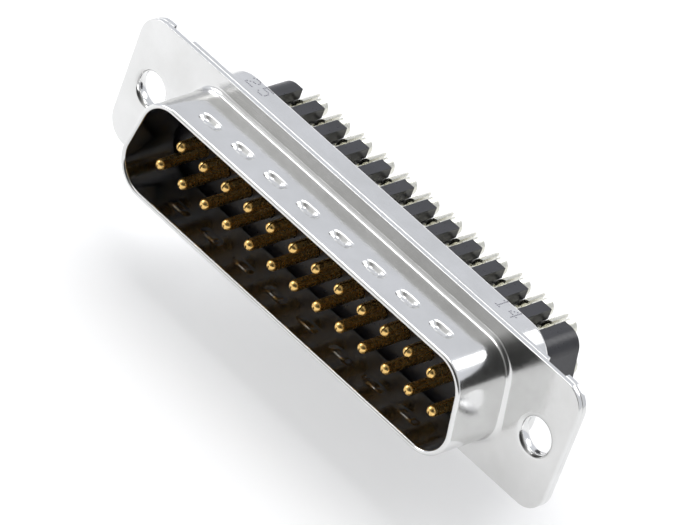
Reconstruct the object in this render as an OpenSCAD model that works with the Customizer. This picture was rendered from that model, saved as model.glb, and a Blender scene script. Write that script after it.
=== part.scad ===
// Two-row D-shaped plug connector with solder cups.
// Two drawn steel shells clamp a two-piece insulator that holds the contacts.
// The origin is the centre of the flange's front face. +X runs along the rows,
// the plug mates towards -Y, and +Z points to the narrow side of the D.

/* [Flange] */
// Length of the flange along the rows
flange_w = 53.04; // [52.6:0.1:53.6]
// Height of the flange across the rows
flange_h = 12.5; // [12.2:0.1:12.9]
// Corner radius of the flange
flange_r = 2.2; // [1:0.1:3]
// Thickness of the steel sheet of both shells
sheet_t = 0.46; // [0.4:0.02:0.5]
// Distance between the two fixing holes
hole_spacing = 47.04; // [46.9:0.02:47.2]
// Clear diameter of a fixing hole
hole_d = 3.1; // [3.0:0.05:3.3]

/* [Shroud] */
// Inside length of the shroud at its widest
shroud_w = 38.96; // [38.8:0.02:39.1]
// Inside height of the shroud
shroud_h = 8.4; // [8.3:0.02:8.5]
// Height of the shroud in front of the flange
shroud_depth = 5.8; // [5.5:0.1:6.1]
// Inside corner radius of the shroud
shroud_r = 2.6; // [2.4:0.1:2.8]
// Slope of the D's short sides
side_slope = 10; // [9:0.5:11]

/* [Dimples] */
// Number of spring dimples in each long wall
dimple_count = 8; // [4:2:8]
// Distance between dimples
dimple_pitch = 4.0; // [3.6:0.1:4.2]
// Length of a dimple
dimple_l = 2.3; // [1.8:0.1:2.6]
// Width of a dimple
dimple_b = 1.1; // [0.8:0.1:1.2]
// Depth of a dimple below the wall's outer face
dimple_depth = 0.34; // [0.25:0.01:0.38]

/* [Collar] */
// Outside length of the rear collar at its widest
collar_w = 41.3; // [41.1:0.1:41.5]
// Outside height of the rear collar
collar_h = 10.72; // [10.6:0.02:10.8]
// Outside corner radius of the rear collar
collar_r = 3.2; // [3:0.1:3.4]
// Distance from the flange's front face to the collar's rear face
collar_depth = 4.3; // [4.1:0.1:4.6]
// Width of the inward lip at the collar's rear
lip_w = 1.1; // [0.9:0.1:1.2]

/* [Contacts] */
// Contacts in the long row
long_row = 13; // [13:1:13]
// Distance between contacts in a row
pitch = 2.77; // [2.74:0.01:2.78]
// Distance between the two rows
row_gap = 2.84; // [2.8:0.01:2.9]
// Diameter of a contact pin
pin_d = 1.0; // [0.95:0.01:1.02]
// Distance from the flange's front face to the pin tips
pin_reach = 4.87; // [4.5:0.05:5.2]
// Outside diameter of a solder cup
cup_d = 1.9; // [1.8:0.02:1.94]
// Bore of a solder cup
cup_bore = 1.36; // [1.2:0.02:1.44]
// Distance from the flange's front face to the cup ends
cup_reach = 11.6; // [11:0.1:12.5]
// Length of the cup bore
cup_bore_l = 3.9; // [3.5:0.1:4.4]
// Diameter of the shoulder that holds a contact
shoulder_d = 2.3; // [2.15:0.05:2.35]

/* [Insulator] */
// Distance from the flange's front face to the joint of the two halves
split_depth = 2.4; // [2.2:0.1:2.6]
// Distance from the flange's front face to the rear ends of the ribs
rib_reach = 9.65; // [9:0.05:10.2]
// Height of the ribbed block across the rows
block_h = 6.1; // [6:0.05:6.3]
// Length of the ribbed block at its widest
block_w = 37.66; // [37.4:0.1:37.9]
// Corner radius of the ribbed block
block_r = 1.6; // [1.2:0.1:2]
// Width of a rib between two cups
rib_w = 1.2; // [1.1:0.05:1.3]

/* [Fits] */
// Gap round a contact in its passage, on each side
contact_fit = 0.05; // [0.03:0.01:0.06]
// Gap between the insulator's rim and the collar
rim_fit = 0.1; // [0.05:0.01:0.15]
// Gap between the insulator's front face and the front shell's flange
seat_fit = 0.02; // [0.01:0.01:0.05]
// Gap between a hole's collar and the rear plate
eyelet_fit = 0.05; // [0.03:0.01:0.08]

/* [Hidden] */
// Depths are measured along f, the way the plug mates, from the flange's front.
plate_gap_f = -sheet_t;
plate_back_f = -2 * sheet_t;
short_row = long_row - 1;
contact_count = long_row + short_row;

// Fixing holes: the front plate's hole is drawn back into a collar and clinched.
entry_r = 0.4;
eyelet_t = 0.38;
eyelet_r = hole_d / 2 + eyelet_t;
clinch_r = eyelet_r + 0.5;
clinch_t = 0.3;
clinch_flare = 0.2;

// Notches in the long edges of the rear plate, beside each hole.
notch_x = 22.65;
notch_w = 2.2;
notch_depth = 0.8;

// Insulator rims, set from the collar that holds them.
rim_inset = sheet_t + rim_fit;
rim_w = collar_w - 2 * rim_inset;
rim_h = collar_h - 2 * rim_inset;
rim_r = collar_r - rim_inset;
face_f = plate_gap_f - seat_fit;
lip_f = sheet_t - collar_depth;
rim_chamfer = 0.4;

// Contact shoulders sit in pockets either side of the joint of the halves.
shoulder_front_f = -1.6;
shoulder_back_f = -3.0;
barrel_fit_d = cup_d + 2 * contact_fit;
slot_w = pitch - rib_w;
window_start = 0.35;
window_l = 1.3;
seam_w = 0.12;
cup_seam_w = 0.24;
cup_notch_w = 0.7;
cup_notch_l = 0.45;
smooth = 48;
edge_lap = 0.001;

function two_digits(i) = str(i < 10 ? "0" : "", i);
function contact_name(i) = str("contact_", two_digits(i));

// Places of the contacts: 1 to 13 from the right on the wide side, then 14 to 25.
function in_long_row(i) = i <= long_row;
function contact_x(i) = in_long_row(i)
    ? ((long_row + 1) / 2 - i) * pitch
    : (long_row + (short_row + 1) / 2 - i) * pitch;
function contact_y(i) = (in_long_row(i) ? -1 : 1) * row_gap / 2;
function contact_places() = [for (i = [1:contact_count]) [contact_x(i), contact_y(i)]];

// Corner centres of a D, and where each corner's arc starts and how far it turns.
function d_low_x(w, r) = w / 2 - r;
function d_top_x(w, h, r) = d_low_x(w, r) - (h - 2 * r) * tan(side_slope);
function d_centres(w, h, r) = [
    [d_low_x(w, r), r - h / 2],
    [d_top_x(w, h, r), h / 2 - r],
    [-d_top_x(w, h, r), h / 2 - r],
    [-d_low_x(w, r), r - h / 2]
];
d_starts = [-90, side_slope, 90, 180 - side_slope];
d_turns = [90 + side_slope, 90 - side_slope, 90 - side_slope, 90 + side_slope];

// Turns the depth axis f into -Y and the D's upright axis into +Z.
module to_part_frame() {
    rotate([90, 0, 0]) children();
}

// Flat D outline of largest width w, height h and corner radius r. Its straight
// edges lie a hair inside the tangents, so that they always cross the corner circles.
module d_outline(w, h, r) {
    c = d_centres(w, h, r);
    polygon([for (j = [0:3], a = [d_starts[j], d_starts[j] + d_turns[j]])
        c[j] + (r - edge_lap) * [cos(a), sin(a)]]);
    for (p = c) translate(p) circle(r = r, $fn = 2 * smooth);
}

module d_slab(w, h, r, f0, f1) {
    translate([0, 0, f0]) linear_extrude(f1 - f0) d_outline(w, h, r);
}

module flange_outline() {
    long_side = flange_w - 2 * flange_r;
    square([long_side, flange_h], center = true);
    square([flange_w, flange_h - 2 * flange_r], center = true);
    for (sx = [-1, 1], sy = [-1, 1])
        translate([sx * long_side / 2, sy * (flange_h / 2 - flange_r)])
            circle(r = flange_r, $fn = smooth);
}

module at_holes() {
    for (sx = [-1, 1]) translate([sx * hole_spacing / 2, 0, 0]) children();
}

// Section of a hole's collar: rounded entry, tube, and the clinched rear edge.
module eyelet_section() {
    bore_r = hole_d / 2;
    back_f = plate_back_f - clinch_t;
    difference() {
        union() {
            translate([bore_r, back_f]) square([eyelet_t, -back_f]);
            translate([bore_r, -sheet_t]) square([eyelet_t + 0.3, sheet_t]);
            translate([bore_r, back_f]) square([clinch_r - bore_r, clinch_t]);
        }
        difference() {
            translate([bore_r - 1, -entry_r]) square([1 + entry_r, entry_r + 1]);
            translate([bore_r + entry_r, -entry_r]) circle(r = entry_r, $fn = smooth);
            translate([bore_r + entry_r, -entry_r]) square([1, entry_r]);
        }
        polygon([[bore_r - 1, back_f - 1], [bore_r + clinch_flare, back_f - 1],
                 [bore_r + clinch_flare, back_f], [bore_r, plate_back_f],
                 [bore_r - 1, plate_back_f]]);
    }
}

// Round-ended bar that a dimple is pressed with, lying along X.
module dimple_bar(r) {
    straight = dimple_l - dimple_b;
    rotate([0, 90, 0]) rotate_extrude($fn = smooth) intersection() {
        translate([0, -dimple_l]) square([r, 2 * dimple_l]);
        union() {
            translate([0, -straight / 2]) square([r, straight]);
            for (s = [-1, 1]) translate([0, s * straight / 2]) circle(r = r, $fn = smooth);
        }
    }
}

// Radius of that bar, from the dimple's width and depth.
bar_r = (pow(dimple_b / 2, 2) + pow(dimple_depth, 2)) / (2 * dimple_depth);

module at_dimples() {
    wall_y = shroud_h / 2 + sheet_t + bar_r - dimple_depth;
    for (sy = [-1, 1], k = [0:dimple_count - 1])
        translate([(k - (dimple_count - 1) / 2) * dimple_pitch, sy * wall_y, 3.55])
            children();
}

module front_shell() {
    color("gainsboro") to_part_frame() difference() {
        union() {
            translate([0, 0, -sheet_t]) linear_extrude(sheet_t) difference() {
                flange_outline();
                at_holes() circle(r = eyelet_r, $fn = 2 * smooth);
            }
            d_slab(shroud_w + 2 * sheet_t, shroud_h + 2 * sheet_t, shroud_r + sheet_t,
                   -sheet_t, shroud_depth);
            at_holes() rotate_extrude($fn = 2 * smooth) eyelet_section();
        }
        d_slab(shroud_w, shroud_h, shroud_r, -sheet_t - 1, shroud_depth + 1);
        at_dimples() dimple_bar(bar_r);
    }
}

module rear_shell() {
    wall_w = collar_w - 2 * sheet_t;
    wall_h = collar_h - 2 * sheet_t;
    wall_r = collar_r - sheet_t;
    color("lavender") to_part_frame() difference() {
        union() {
            translate([0, 0, plate_back_f]) linear_extrude(sheet_t) difference() {
                flange_outline();
                at_holes() circle(r = eyelet_r + eyelet_fit, $fn = 2 * smooth);
                for (sx = [-1, 1], sy = [-1, 1])
                    translate([sx * notch_x, sy * flange_h / 2])
                        square([notch_w, 2 * notch_depth], center = true);
            }
            d_slab(collar_w, collar_h, collar_r, -collar_depth, plate_gap_f);
        }
        d_slab(wall_w, wall_h, wall_r, lip_f, 1);
        d_slab(wall_w - 2 * lip_w, wall_h - 2 * lip_w, wall_r - lip_w, -collar_depth - 1, 1);
    }
}

module front_insulator() {
    color("#202022") to_part_frame() difference() {
        d_slab(rim_w, rim_h, rim_r, -split_depth, face_f);
        for (p = contact_places()) translate([p[0], p[1], -split_depth - 1]) {
            cylinder(d = pin_d + 2 * contact_fit, h = split_depth + 2, $fn = smooth);
            cylinder(d = shoulder_d + 2 * contact_fit,
                     h = 1 + split_depth + shoulder_front_f, $fn = smooth);
        }
    }
}

// Passage for one contact, open to the outside between the ribs.
module cup_channel(p) {
    translate([p[0], p[1], -rib_reach - 1])
        cylinder(d = barrel_fit_d, h = rib_reach + 1, $fn = smooth);
    translate([p[0], p[1], shoulder_back_f])
        cylinder(d = shoulder_d + 2 * contact_fit, h = 2, $fn = smooth);
    translate([p[0] - slot_w / 2, p[1] > 0 ? p[1] : p[1] - block_h, -rib_reach - 1])
        cube([slot_w, block_h, rib_reach + 1 - collar_depth]);
}

module rear_insulator() {
    color("#202022") to_part_frame() difference() {
        union() {
            d_slab(rim_w, rim_h, rim_r, lip_f + rim_chamfer, -split_depth);
            d_slab(rim_w - 2 * rim_chamfer, rim_h - 2 * rim_chamfer, rim_r - rim_chamfer,
                   lip_f, -split_depth);
            d_slab(block_w, block_h, block_r, -rib_reach, -split_depth);
        }
        for (p = contact_places()) cup_channel(p);
    }
}

// One contact on the f axis, with its cup open towards +y.
module contact() {
    nose = pin_d / 2;
    bore_f = cup_bore_l - cup_reach;
    difference() {
        union() {
            translate([0, 0, pin_reach - nose]) sphere(r = nose, $fn = smooth);
            translate([0, 0, shoulder_front_f])
                cylinder(d = pin_d, h = pin_reach - nose - shoulder_front_f, $fn = smooth);
            translate([0, 0, shoulder_back_f])
                cylinder(d = shoulder_d, h = shoulder_front_f - shoulder_back_f, $fn = smooth);
            translate([0, 0, -cup_reach])
                cylinder(d = cup_d, h = shoulder_back_f + cup_reach, $fn = smooth);
        }
        translate([0, 0, -cup_reach - 1])
            cylinder(d = cup_bore, h = cup_bore_l + 1, $fn = smooth);
        translate([-seam_w / 2, -seam_w / 2, 0.5]) cube([seam_w, pin_d, pin_reach]);
        translate([-cup_seam_w / 2, 0, -cup_reach - 1])
            cube([cup_seam_w, cup_d, cup_bore_l + 1]);
        translate([-cup_notch_w / 2, 0, -cup_reach - 1])
            cube([cup_notch_w, cup_d, cup_notch_l + 1]);
        translate([-cup_d / 2, 0.1, bore_f - window_start - window_l])
            cube([cup_d, cup_d, window_l]);
    }
}

module placed_contact(i) {
    color("#c9a24b") to_part_frame()
        translate([contact_x(i), contact_y(i), 0])
            rotate([0, 0, in_long_row(i) ? 180 : 0]) contact();
}

front_shell();
rear_shell();
front_insulator();
rear_insulator();
for (i = [1:contact_count])
    placed_contact(i);
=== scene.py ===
import math

import bpy
from mathutils import Matrix, Vector


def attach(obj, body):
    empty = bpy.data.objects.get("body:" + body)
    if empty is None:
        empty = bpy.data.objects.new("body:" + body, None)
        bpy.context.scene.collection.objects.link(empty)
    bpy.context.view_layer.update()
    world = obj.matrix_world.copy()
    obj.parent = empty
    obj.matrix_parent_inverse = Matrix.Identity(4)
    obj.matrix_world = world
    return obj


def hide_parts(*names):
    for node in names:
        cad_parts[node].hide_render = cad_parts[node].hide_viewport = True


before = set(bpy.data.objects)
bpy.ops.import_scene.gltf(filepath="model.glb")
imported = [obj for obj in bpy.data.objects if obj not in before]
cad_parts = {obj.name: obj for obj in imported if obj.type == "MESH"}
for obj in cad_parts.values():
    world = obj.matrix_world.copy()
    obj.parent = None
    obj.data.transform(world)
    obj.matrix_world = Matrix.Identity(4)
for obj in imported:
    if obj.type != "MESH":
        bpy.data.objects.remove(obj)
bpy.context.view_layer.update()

MM = 0.001

# Sizes in millimetres, the same as the part's own.
FLANGE_W, FLANGE_H, FLANGE_R = 53.04, 12.5, 2.2
SHEET = 0.46
HOLE_SPACING, HOLE_R = 47.04, 1.55
SHROUD_W, SHROUD_H, SHROUD_R, SHROUD_DEPTH = 38.96, 8.4, 2.6, 5.8
COLLAR_W, COLLAR_H, COLLAR_R, COLLAR_DEPTH = 41.3, 10.72, 3.2, 4.3
SIDE_SLOPE = math.radians(10)
LIP_W = 1.1
BEND_R = 0.5          # outside bend between a flange and its drawn wall
LIP_BEND = 0.3
DIMPLE_COUNT, DIMPLE_PITCH = 8, 4.0
DIMPLE_L, DIMPLE_B, DIMPLE_DEPTH, DIMPLE_F = 2.3, 1.1, 0.34, 3.55
INNER_BUMP = 0.4      # height of the bump inside, as a share of the dimple
ENTRY_R, EYELET_T, CLINCH_T, CLINCH_FLARE = 0.4, 0.38, 0.3, 0.2
NOTCH_X, NOTCH_W, NOTCH_D = 22.65, 2.2, 0.8
PLATE_BACK = -2 * SHEET
LAP = 0.0008          # how far a bend's own rim stands over the flat plate
EDGE = 0.05           # bevel of the cut edges of the sheet
RIM = 0.3             # width of a bend's rim, or a hole collar's, over the flat plate
RIM_HIDES = 0.15      # how far under that rim the plate's own hole ends
SHROUD_STEP, COLLAR_STEP, HOLE_STEP = 0.13, 0.8, 2.0   # spacing of points along straight runs
WALL_STEPS = 44       # points up the shroud's wall


# ---------- shapes ----------
def part_point(x, up, f):
    """A point of the part from its place along the rows, its height and its depth f."""
    return Vector((x, -f, up)) * MM


def arc(cx, cy, r, a0, a1, steps):
    return [(cx + r * math.cos(math.radians(a0 + (a1 - a0) * k / steps)),
             cy + r * math.sin(math.radians(a0 + (a1 - a0) * k / steps)))
            for k in range(steps + 1)]


def d_path(w, h, r, step, corner_steps=24):
    """Points round a D with their outward normals: (x, up, nx, nup)."""
    low_x = w / 2 - r
    top_x = low_x - (h - 2 * r) * math.tan(SIDE_SLOPE)
    centres = [(low_x, r - h / 2), (top_x, h / 2 - r), (-top_x, h / 2 - r), (-low_x, r - h / 2)]
    slope = math.degrees(SIDE_SLOPE)
    starts = [-90, slope, 90, 180 - slope]
    turns = [90 + slope, 90 - slope, 90 - slope, 90 + slope]
    out = []
    for j in range(4):
        cx, cy = centres[j]
        for k in range(corner_steps + 1):
            a = math.radians(starts[j] + turns[j] * k / corner_steps)
            n = (math.cos(a), math.sin(a))
            out.append((cx + r * n[0], cy + r * n[1], n[0], n[1]))
        x0, y0, nx, ny = out[-1]
        cx2, cy2 = centres[(j + 1) % 4]
        x1, y1 = cx2 + r * nx, cy2 + r * ny
        count = max(2, int(math.hypot(x1 - x0, y1 - y0) / step))
        for k in range(1, count):
            t = k / count
            out.append((x0 + (x1 - x0) * t, y0 + (y1 - y0) * t, nx, ny))
    return out


def finish_mesh(name, verts, faces, material, angle=35):
    me = bpy.data.meshes.new(name)
    me.from_pydata(verts, [], faces)
    me.polygons.foreach_set("use_smooth", [True] * len(me.polygons))
    me.set_sharp_from_angle(angle=math.radians(angle))
    me.update()
    ob = bpy.data.objects.new(name, me)
    bpy.context.scene.collection.objects.link(ob)
    ob.data.materials.append(material)
    return ob


def dent(x, f, wall_side):
    """How far a wall is pressed in at a place along it, and at a depth f."""
    if abs(wall_side) < 0.999:
        return 0.0
    k = round(x / DIMPLE_PITCH + (DIMPLE_COUNT - 1) / 2)
    k = min(max(k, 0), DIMPLE_COUNT - 1)
    u = abs(x - (k - (DIMPLE_COUNT - 1) / 2) * DIMPLE_PITCH) / (DIMPLE_L / 2)
    v = abs(f - DIMPLE_F) / (DIMPLE_B / 2)
    rho = (u ** 4 + v ** 4) ** 0.25 if u < 2 and v < 2 else 2
    t = min(max((1.08 - rho) / 0.6, 0), 1)
    return DIMPLE_DEPTH * t * t * (3 - 2 * t)


def sweep(name, path, section, material, dents=False):
    """Carries a closed section (distance outside the path, depth f) round a closed path."""
    n, m = len(path), len(section)
    verts = []
    for x, up, nx, nup in path:
        for d, f in section:
            if dents:
                d -= dent(x, f, nup) * (1 if d > SHEET * 0.75 else INNER_BUMP)
            verts.append(part_point(x + nx * d, up + nup * d, f))
    faces = [(i * m + j, i * m + (j + 1) % m, ((i + 1) % n) * m + (j + 1) % m, ((i + 1) % n) * m + j)
             for i in range(n) for j in range(m)]
    return finish_mesh(name, verts, faces, material)


def lathe(name, centre_x, section, material, steps=72):
    """Turns a closed section (radius, depth f) about a hole's axis."""
    m = len(section)
    verts = [part_point(centre_x + r * math.cos(2 * math.pi * i / steps),
                        r * math.sin(2 * math.pi * i / steps), f)
             for i in range(steps) for r, f in section]
    faces = [(i * m + j, i * m + (j + 1) % m, ((i + 1) % steps) * m + (j + 1) % m, ((i + 1) % steps) * m + j)
             for i in range(steps) for j in range(m)]
    return finish_mesh(name, verts, faces, material)


def plate(name, outer, holes, f_back, material):
    """Flat sheet with bevelled edges, cut to an outline with holes."""
    cu = bpy.data.curves.new(name, "CURVE")
    cu.dimensions, cu.fill_mode = "2D", "BOTH"
    cu.extrude = (SHEET / 2 - EDGE) * MM
    cu.bevel_depth, cu.offset, cu.bevel_resolution = EDGE * MM, -EDGE * MM, 2
    for loop in [outer] + holes:
        sp = cu.splines.new("POLY")
        sp.points.add(len(loop) - 1)
        for p, (x, y) in zip(sp.points, loop):
            p.co = (x * MM, y * MM, 0, 1)
        sp.use_cyclic_u = True
    src = bpy.data.objects.new(name + "_outline", cu)
    bpy.context.scene.collection.objects.link(src)
    me = bpy.data.meshes.new_from_object(src.evaluated_get(bpy.context.evaluated_depsgraph_get()))
    bpy.data.objects.remove(src)
    me.name = name
    place = Matrix.Translation((0, -(f_back + SHEET / 2) * MM, 0))
    me.transform(place @ Matrix.Rotation(math.pi / 2, 4, "X"))
    me.polygons.foreach_set("use_smooth", [True] * len(me.polygons))
    me.set_sharp_from_angle(angle=math.radians(35))
    ob = bpy.data.objects.new(name, me)
    bpy.context.scene.collection.objects.link(ob)
    me.materials.clear()
    me.materials.append(material)
    return ob


def circle(cx, cy, r, steps=72):
    return arc(cx, cy, r, 0, 360 * (steps - 1) / steps, steps - 1)


def flange_loop(notched):
    x, y, r = FLANGE_W / 2, FLANGE_H / 2, FLANGE_R
    pts = []
    for sx, sy, a in ((1, 1, 0), (-1, 1, 90), (-1, -1, 180), (1, -1, 270)):
        corner = arc(sx * (x - r), sy * (y - r), r, a, a + 90, 14)
        notch = [(sx * (NOTCH_X + NOTCH_W / 2), sy * y), (sx * (NOTCH_X + NOTCH_W / 2), sy * (y - NOTCH_D)),
                 (sx * (NOTCH_X - NOTCH_W / 2), sy * (y - NOTCH_D)), (sx * (NOTCH_X - NOTCH_W / 2), sy * y)]
        if notched:
            corner = corner + notch if sx * sy > 0 else notch[::-1] + corner
        pts += corner
    return pts


# ---------- materials ----------
def material(name):
    mat = bpy.data.materials.new(name)
    mat.use_nodes = True
    nt = mat.node_tree
    bsdf = nt.nodes["Principled BSDF"]
    return mat, nt, bsdf


def node(nt, kind, **inputs):
    n = nt.nodes.new(kind)
    for k, v in inputs.items():
        n.inputs[k.replace("_", " ")].default_value = v
    return n


def ramp(nt, source, stops):
    r = nt.nodes.new("ShaderNodeValToRGB")
    while len(r.color_ramp.elements) < len(stops):
        r.color_ramp.elements.new(0.5)
    for e, (pos, col) in zip(r.color_ramp.elements, stops):
        e.position, e.color = pos, (*col, 1)
    nt.links.new(source, r.inputs["Fac"])
    return r.outputs["Color"]


def grey(v):
    return (v, v, v)


def steel_material():
    mat, nt, b = material("tin_plated_steel")
    tc = nt.nodes.new("ShaderNodeTexCoord")
    fine = node(nt, "ShaderNodeTexNoise", Scale=2600.0, Detail=6.0, Roughness=0.65)
    cloud = node(nt, "ShaderNodeTexNoise", Scale=220.0, Detail=4.0, Roughness=0.6)
    wave = node(nt, "ShaderNodeTexNoise", Scale=520.0, Detail=2.0, Roughness=0.5)
    for n in (fine, cloud, wave):
        nt.links.new(tc.outputs["Object"], n.inputs["Vector"])
    nt.links.new(ramp(nt, cloud.outputs["Fac"], [(0.3, (0.66, 0.66, 0.65)), (0.7, (0.74, 0.74, 0.735))]),
                 b.inputs["Base Color"])
    nt.links.new(ramp(nt, fine.outputs["Fac"], [(0.3, grey(0.12)), (0.7, grey(0.20))]), b.inputs["Roughness"])
    b.inputs["Metallic"].default_value = 1.0
    b1 = node(nt, "ShaderNodeBump", Strength=0.06, Distance=0.00002)
    b2 = node(nt, "ShaderNodeBump", Strength=0.10, Distance=0.00006)
    nt.links.new(fine.outputs["Fac"], b1.inputs["Height"])
    nt.links.new(wave.outputs["Fac"], b2.inputs["Height"])
    nt.links.new(b1.outputs["Normal"], b2.inputs["Normal"])
    nt.links.new(b2.outputs["Normal"], b.inputs["Normal"])
    return mat


def black_material():
    mat, nt, b = material("black_moulding")
    tc = nt.nodes.new("ShaderNodeTexCoord")
    fine = node(nt, "ShaderNodeTexNoise", Scale=3000.0, Detail=5.0, Roughness=0.6)
    cloud = node(nt, "ShaderNodeTexNoise", Scale=300.0, Detail=3.0, Roughness=0.6)
    for n in (fine, cloud):
        nt.links.new(tc.outputs["Object"], n.inputs["Vector"])
    shades = [(0.35, (0.010, 0.010, 0.013)), (0.7, (0.020, 0.020, 0.026))]
    nt.links.new(ramp(nt, cloud.outputs["Fac"], shades), b.inputs["Base Color"])
    nt.links.new(ramp(nt, fine.outputs["Fac"], [(0.3, grey(0.26)), (0.7, grey(0.40))]), b.inputs["Roughness"])
    bev = nt.nodes.new("ShaderNodeBevel")
    bev.samples = 6
    bev.inputs["Radius"].default_value = 0.00009
    bump = node(nt, "ShaderNodeBump", Strength=0.12, Distance=0.00002)
    nt.links.new(fine.outputs["Fac"], bump.inputs["Height"])
    nt.links.new(bev.outputs["Normal"], bump.inputs["Normal"])
    nt.links.new(bump.outputs["Normal"], b.inputs["Normal"])
    return mat


def contact_material():
    """Gold on the pins, paler at the cups, which lie behind the flange."""
    mat, nt, b = material("plated_contact")
    tc = nt.nodes.new("ShaderNodeTexCoord")
    sep = nt.nodes.new("ShaderNodeSeparateXYZ")
    nt.links.new(tc.outputs["Object"], sep.inputs["Vector"])
    place = node(nt, "ShaderNodeMapRange")
    place.inputs["From Min"].default_value = 3.5 * MM
    place.inputs["From Max"].default_value = 6.5 * MM
    nt.links.new(sep.outputs["Y"], place.inputs["Value"])
    base = ramp(nt, place.outputs["Result"], [(0.0, (0.85, 0.56, 0.20)), (0.5, (0.72, 0.62, 0.42)),
                                              (1.0, (0.66, 0.65, 0.58))])
    fine = node(nt, "ShaderNodeTexNoise", Scale=2400.0, Detail=5.0, Roughness=0.6)
    nt.links.new(tc.outputs["Object"], fine.inputs["Vector"])
    mix = nt.nodes.new("ShaderNodeMix")
    mix.data_type, mix.blend_type = "RGBA", "MULTIPLY"
    mix.inputs["Factor"].default_value = 0.15
    nt.links.new(base, mix.inputs["A"])
    nt.links.new(ramp(nt, fine.outputs["Fac"], [(0.3, grey(0.75)), (0.65, grey(1.0))]), mix.inputs["B"])
    nt.links.new(mix.outputs["Result"], b.inputs["Base Color"])
    nt.links.new(ramp(nt, fine.outputs["Fac"], [(0.3, grey(0.18)), (0.7, grey(0.34))]), b.inputs["Roughness"])
    b.inputs["Metallic"].default_value = 1.0
    bump = node(nt, "ShaderNodeBump", Strength=0.10, Distance=0.00002)
    nt.links.new(fine.outputs["Fac"], bump.inputs["Height"])
    nt.links.new(bump.outputs["Normal"], b.inputs["Normal"])
    return mat


def ink_material():
    mat, nt, b = material("grey_ink")
    tc = nt.nodes.new("ShaderNodeTexCoord")
    n = node(nt, "ShaderNodeTexNoise", Scale=5000.0, Detail=3.0)
    nt.links.new(tc.outputs["Object"], n.inputs["Vector"])
    nt.links.new(ramp(nt, n.outputs["Fac"], [(0.3, (0.07, 0.07, 0.09)), (0.75, (0.20, 0.20, 0.23))]),
                 b.inputs["Base Color"])
    b.inputs["Roughness"].default_value = 0.6
    return mat


steel, black, gold, ink = steel_material(), black_material(), contact_material(), ink_material()
for name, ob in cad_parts.items():
    look = black if "insulator" in name else gold if name.startswith("contact") else steel
    for slot in ob.material_slots:
        slot.material = look


# ---------- front shell: plate, drawn shroud with dimples, hole collars ----------
def shroud_section():
    nose = SHEET / 2
    out_r = BEND_R + SHEET
    pts = arc(nose, SHROUD_DEPTH - nose, nose, 0, 180, 10)
    top = pts[-1][1]
    pts += [(0, top - (top - BEND_R) * k / WALL_STEPS) for k in range(1, WALL_STEPS)]
    pts += arc(out_r, BEND_R, out_r, 180, 270, 10)
    pts[-1] = (out_r, -SHEET - LAP)
    pts += [(out_r + RIM, -SHEET - LAP), (out_r + RIM, LAP)]
    bend = arc(out_r, BEND_R, BEND_R, 270, 180, 10)
    bend[0] = (out_r, LAP)
    pts += bend
    pts += [(SHEET, BEND_R + (top - BEND_R) * k / WALL_STEPS) for k in range(1, WALL_STEPS)]
    return pts


def plate_hole(w, h, r):
    """Outline of the hole in a plate that ends under the rim of a wall's bend."""
    away = BEND_R + SHEET + RIM_HIDES
    return [(x + nx * away, y + ny * away) for x, y, nx, ny in d_path(w, h, r, HOLE_STEP)]


shroud = sweep("front_shroud", d_path(SHROUD_W, SHROUD_H, SHROUD_R, SHROUD_STEP),
               shroud_section(), steel, dents=True)
sides = (-HOLE_SPACING / 2, HOLE_SPACING / 2)
front_plate = plate("front_plate", flange_loop(False),
                    [plate_hole(SHROUD_W, SHROUD_H, SHROUD_R)]
                    + [circle(x, 0, HOLE_R + ENTRY_R + 0.12) for x in sides], -SHEET, steel)


def eyelet_section():
    r0, back = HOLE_R, PLATE_BACK - CLINCH_T
    tube_r = HOLE_R + EYELET_T
    entry = arc(r0 + ENTRY_R, -ENTRY_R, ENTRY_R, 90, 180, 10)
    pts = [(r0 + ENTRY_R + RIM, -SHEET), (r0 + ENTRY_R + RIM, LAP)]
    pts += [(entry[0][0], entry[0][1] + LAP)] + entry[1:]
    pts += [(r0, PLATE_BACK), (r0 + CLINCH_FLARE, back)]
    pts += arc(tube_r + 0.4, back + 0.1, 0.1, 270, 360, 4)
    pts += [(tube_r + 0.5, PLATE_BACK - LAP), (tube_r, PLATE_BACK - LAP), (tube_r, -SHEET)]
    return pts


eyelets = [lathe("hole_collar_" + side, x, eyelet_section(), steel)
           for side, x in zip(("left", "right"), sides)]


# ---------- rear shell: plate with notches, collar with its lip ----------
def collar_section():
    out_r = BEND_R + SHEET
    f1 = PLATE_BACK - BEND_R
    lip_f = SHEET - COLLAR_DEPTH
    turn = (-LIP_BEND, lip_f + LIP_BEND)
    pts = [(out_r + RIM, PLATE_BACK - LAP), (out_r + RIM, -SHEET + LAP * 0.5)]
    pts += arc(out_r, f1, out_r, 90, 180, 10)
    pts += arc(*turn, LIP_BEND, 0, -90, 6)
    pts += [(-LIP_W, lip_f), (-LIP_W, -COLLAR_DEPTH)]
    pts += arc(*turn, LIP_BEND + SHEET, -90, 0, 12)
    pts += arc(out_r, f1, BEND_R, 180, 90, 10)
    return pts


wall_w, wall_h, wall_r = COLLAR_W - 2 * SHEET, COLLAR_H - 2 * SHEET, COLLAR_R - SHEET
collar = sweep("rear_collar", d_path(wall_w, wall_h, wall_r, COLLAR_STEP), collar_section(), steel)
rear_plate = plate("rear_plate", flange_loop(True),
                   [plate_hole(wall_w, wall_h, wall_r)]
                   + [circle(x, 0, HOLE_R + EYELET_T + 0.05) for x in sides], PLATE_BACK, steel)


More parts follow.
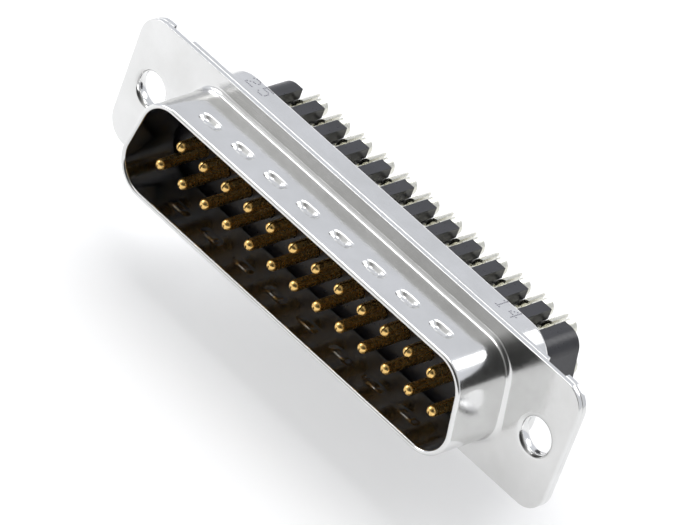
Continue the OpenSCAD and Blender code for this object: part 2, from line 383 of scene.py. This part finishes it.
# ---------- ink marks: the numbers of the end contacts of the short row ----------
DIGITS = {"1": ["..#..", ".##..", "..#..", "..#..", "..#..", "..#..", ".###."],
          "2": [".###.", "#...#", "....#", "..##.", ".#...", "#....", "#####"],
          "4": ["...#.", "..##.", ".#.#.", "#..#.", "#####", "...#.", "...#."],
          "5": ["#####", "#....", "####.", "....#", "....#", "#...#", ".###."]}
DOT_R, DOT_GAP, DIGIT_GAP = 0.07, 0.2, 1.4
DOT_SIDES = 10
INK_SUNK, INK_PROUD = -0.004, 0.006   # the ink's underside and top, from the steel
MARK_Y = 3.7


def ink_number(name, word, x0, y0, up):
    """Dots of a printed number on the collar's top. It reads along +X, and its top is at the rear."""
    verts, faces = [], []
    for c, ch in enumerate(word):
        for row, line in enumerate(DIGITS[ch]):
            for col, dot in enumerate(line):
                if dot != "#":
                    continue
                cx = x0 + c * DIGIT_GAP + col * DOT_GAP
                cy = y0 - row * DOT_GAP
                base = len(verts)
                turns = [2 * math.pi * a / DOT_SIDES for a in range(DOT_SIDES)]
                for h in (INK_SUNK, INK_PROUD):
                    verts += [Vector((cx + DOT_R * math.cos(a), cy + DOT_R * math.sin(a), up + h)) * MM
                              for a in turns]
                rim = base + DOT_SIDES
                faces.append(tuple(range(rim, rim + DOT_SIDES)))
                faces += [(base + k, base + (k + 1) % DOT_SIDES, rim + (k + 1) % DOT_SIDES, rim + k)
                          for k in range(DOT_SIDES)]
    return finish_mesh(name, verts, faces, ink)


marks = [ink_number("mark_left", "25", -16.6, MARK_Y, COLLAR_H / 2),
         ink_number("mark_right", "14", 13.7, MARK_Y, COLLAR_H / 2)]

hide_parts("front_shell")
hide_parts("rear_shell")
for ob in (shroud, front_plate, *eyelets, collar, rear_plate, *marks):
    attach(ob, "root")

# ---------- stage, light and camera ----------
FLOOR_Z = -12 * MM
FLOOR_HALF = 3.0
FLOOR_GLOW = 0.22     # added where the floor is seen, or seen in metal, so that it is white there


def stage_floor():
    me = bpy.data.meshes.new("floor")
    corners = [(-1, -1), (1, -1), (1, 1), (-1, 1)]
    me.from_pydata([(FLOOR_HALF * x, FLOOR_HALF * y, FLOOR_Z) for x, y in corners], [], [(0, 1, 2, 3)])
    ob = bpy.data.objects.new("floor", me)
    bpy.context.scene.collection.objects.link(ob)
    mat, nt, b = material("floor_white")
    b.inputs["Base Color"].default_value = (0.80, 0.80, 0.80, 1)
    b.inputs["Roughness"].default_value = 0.9
    b.inputs["Specular IOR Level"].default_value = 0.0
    path = nt.nodes.new("ShaderNodeLightPath")
    glow = nt.nodes.new("ShaderNodeMath")
    glow.operation = "MAXIMUM"
    nt.links.new(path.outputs["Is Camera Ray"], glow.inputs[0])
    nt.links.new(path.outputs["Is Glossy Ray"], glow.inputs[1])
    trans = nt.nodes.new("ShaderNodeMath")
    trans.operation = "MAXIMUM"
    nt.links.new(glow.outputs[0], trans.inputs[0])
    nt.links.new(path.outputs["Is Transmission Ray"], trans.inputs[1])
    level = nt.nodes.new("ShaderNodeMath")
    level.operation = "MULTIPLY"
    level.inputs[1].default_value = FLOOR_GLOW
    nt.links.new(trans.outputs[0], level.inputs[0])
    nt.links.new(level.outputs[0], b.inputs["Emission Strength"])
    b.inputs["Emission Color"].default_value = (1, 1, 1, 1)
    me.materials.append(mat)


stage_floor()


def world_light():
    """White room that is darker on the side from which the part is looked at."""
    world = bpy.data.worlds.new("room")
    bpy.context.scene.world = world
    world.use_nodes = True
    nt = world.node_tree
    bg = nt.nodes["Background"]
    tc = nt.nodes.new("ShaderNodeTexCoord")
    dot = nt.nodes.new("ShaderNodeVectorMath")
    dot.operation = "DOT_PRODUCT"
    dot.inputs[1].default_value = Vector((0.55, -0.75, 0.38)).normalized()
    nt.links.new(tc.outputs["Generated"], dot.inputs[0])
    col = ramp(nt, dot.outputs["Value"], [(0.0, (0.90, 0.92, 0.98)), (0.35, (0.95, 0.95, 0.95)),
                                          (0.60, grey(0.50)), (0.85, grey(0.10)), (1.0, grey(0.05))])
    nt.links.new(col, bg.inputs["Color"])
    bg.inputs["Strength"].default_value = 0.9


world_light()


def area(name, loc, size, power, target=(0, 0, 0)):
    la = bpy.data.lights.new(name, "AREA")
    la.shape, la.size, la.energy = "DISK", size, power
    ob = bpy.data.objects.new(name, la)
    bpy.context.scene.collection.objects.link(ob)
    ob.location = loc
    ob.rotation_euler = (Vector(target) - Vector(loc)).to_track_quat("-Z", "Y").to_euler()
    return ob


area("soft_top", (-0.15, 0.10, 0.55), 0.45, 1.6)
area("soft_left", (-0.45, -0.25, 0.30), 0.30, 0.9)
area("soft_rear", (0.10, 0.50, 0.35), 0.30, 0.8)

CAMERA_AT = Vector((0.24021, -0.34908, 0.28544))
CAMERA_AIM = Vector((0.00072, 0.00065, 0.00004))
CAMERA_ROLL = math.radians(-21.06)     # the camera's top leans to the left
CAMERA_LENS = 327.3

cam = bpy.data.cameras.new("camera")
cam.lens, cam.sensor_width = CAMERA_LENS, 36.0
cam.clip_start, cam.clip_end = 0.01, 20
cam_ob = bpy.data.objects.new("camera", cam)
bpy.context.scene.collection.objects.link(cam_ob)
level = (CAMERA_AIM - CAMERA_AT).to_track_quat("-Z", "Y").to_matrix().to_4x4()
cam_ob.matrix_world = Matrix.Translation(CAMERA_AT) @ level @ Matrix.Rotation(-CAMERA_ROLL, 4, "Z")
bpy.context.scene.camera = cam_ob
bpy.context.scene.view_settings.view_transform = "Standard"
